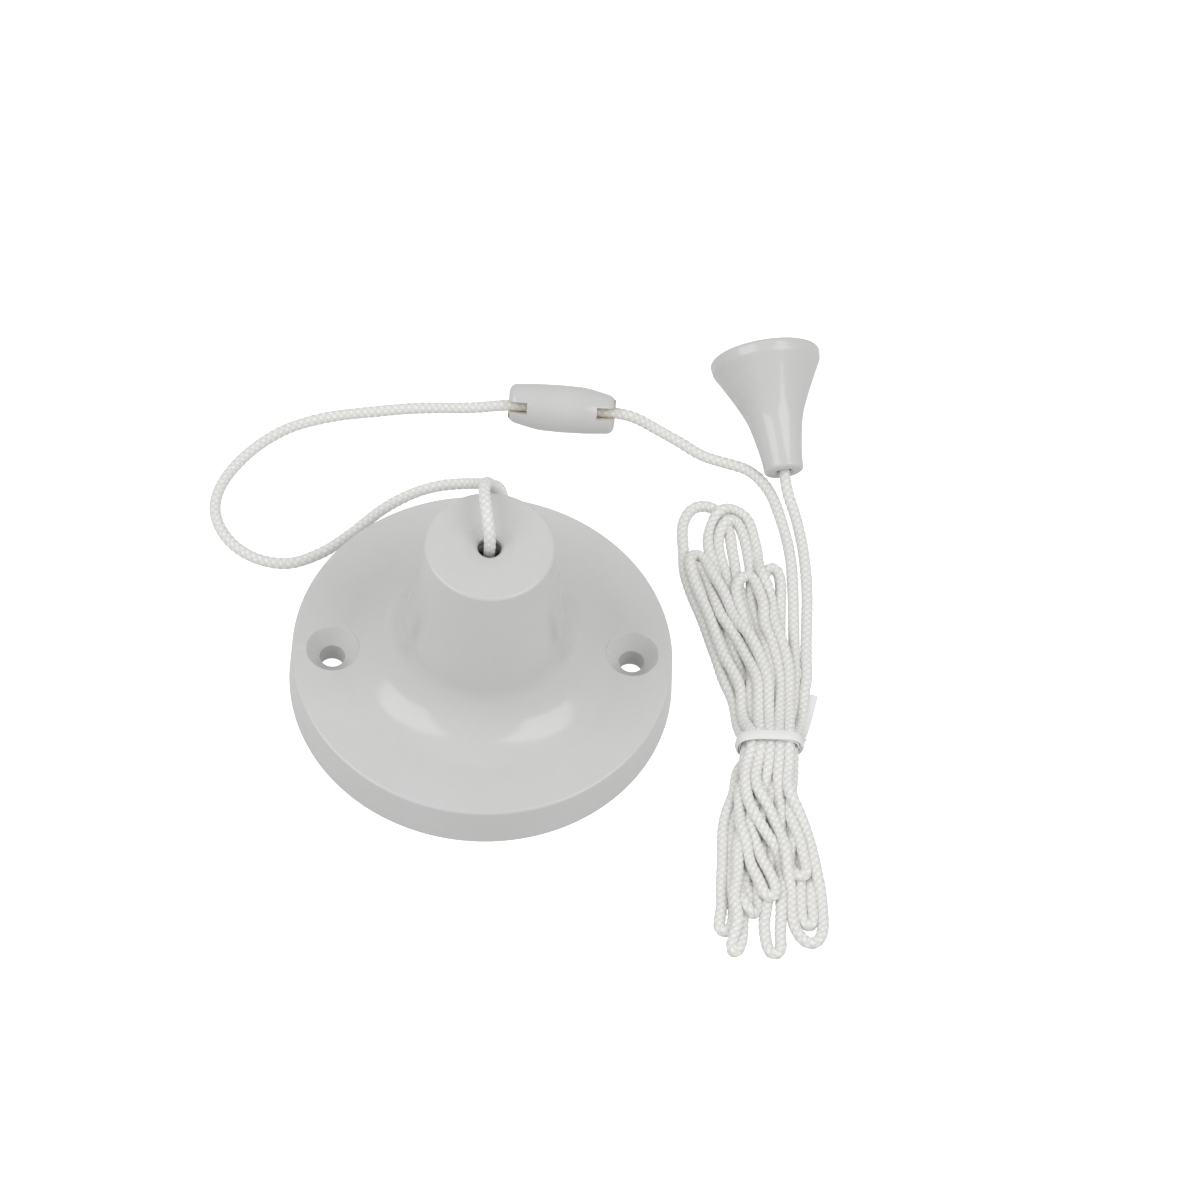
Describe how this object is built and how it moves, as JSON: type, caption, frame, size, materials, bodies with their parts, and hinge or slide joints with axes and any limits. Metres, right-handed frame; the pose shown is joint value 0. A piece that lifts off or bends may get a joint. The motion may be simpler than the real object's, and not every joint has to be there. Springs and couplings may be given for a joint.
{
  "type": "pull cord switch",
  "caption": "Round ceiling pull cord switch with a bell-shaped boss, braided cord, cord connector, tied hank of cord and trumpet-shaped bell pull.",
  "frame": {"origin": "centre of the ceiling face, on the surface that the switch stands on", "axes": "+Z away from the ceiling face, out of the cord hole; the two fixing holes lie along X"},
  "size_m": [0.1408, 0.1618, 0.0595],
  "materials": {
    "white_plastic": "glossy moulded warm white",
    "natural_plastic": "satin moulded, natural colour",
    "black_plastic": "satin moulded, black",
    "cord": "braided white synthetic cord",
    "brass": "stamped brass",
    "zinc": "zinc-plated steel",
    "spring_steel": "bright spring steel",
    "silver": "silver contact rivet"
  },
  "bodies": {
    "switch_body": {"cover": "white_plastic", "base_plate": "natural_plastic", "base_screw_1": "zinc", "base_screw_2": "zinc", "chassis_screw_1": "zinc", "chassis_screw_2": "zinc", "chassis": "natural_plastic", "cam_axle": "spring_steel", "contact_pin": "spring_steel", "detent_spring": "spring_steel", "return_spring": "spring_steel", "contact_spring": "spring_steel", "contact_l1": "brass", "contact_l2": "brass", "contact_common": "brass", "terminal_common": "brass", "terminal_screw_common": "zinc", "terminal_l2": "brass", "terminal_screw_l2": "zinc", "terminal_l1": "brass", "terminal_screw_l1": "zinc", "terminal_loop": "brass", "terminal_screw_loop": "zinc", "upper_cord": "cord", "connector_left": "white_plastic", "connector_right": "white_plastic", "connector_knot_left": "cord", "connector_knot_right": "cord", "lower_cord_lead": "cord", "hank": "cord", "hank_tie": "white_plastic", "bell_knot": "cord", "lower_cord_tail": "cord"},
    "plunger": {"plunger": "black_plastic", "cord_knot": "cord", "pawl_pin": "spring_steel", "pawl_spring": "spring_steel"},
    "pawl": {"pawl": "black_plastic"},
    "cam_wheel": {"cam_wheel": "black_plastic"},
    "contact_lever": {"contact_lever": "brass", "lever_contact": "silver"},
    "bell_pull": {"bell_pull": "white_plastic"}
  },
  "joints": [
    {"name": "cord_pull", "type": "slide", "parent": "switch_body", "child": "plunger", "axis": [0, 0, 1], "range_m": [0, 0.007], "stiffness_N_per_m": 1500, "springref_m": -0.002, "deforming": ["return_spring", "upper_cord"]},
    {"name": "pawl_swing", "type": "hinge", "parent": "plunger", "child": "pawl", "pos_m": [0.0085, 0, 0.027], "axis": [0, -1, 0], "range_deg": [0, 14], "stiffness_Nm_per_rad": 0.01, "springref_deg": -11.46},
    {"name": "cam_turn", "type": "hinge", "parent": "switch_body", "child": "cam_wheel", "pos_m": [0, 0, 0.0145], "axis": [0, -1, 0], "range_deg": [0, 45]},
    {"name": "contact_change", "type": "hinge", "parent": "switch_body", "child": "contact_lever", "pos_m": [-0.0095, 0, 0.006], "axis": [0, -1, 0], "range_deg": [0, 7], "deforming": ["contact_spring"]},
    {"name": "bell_turn", "type": "hinge", "parent": "switch_body", "child": "bell_pull", "pos_m": [0.0701, 0.0554, 0.0044], "axis": [-0.1529, 0.944, 0.2924], "continuous": true}
  ],
  "couplings": [
    {"joint": "cam_turn", "follows": "cord_pull", "rad_per_m": 112.19},
    {"joint": "contact_change", "follows": "cord_pull", "rad_per_m": 17.451}
  ]
}
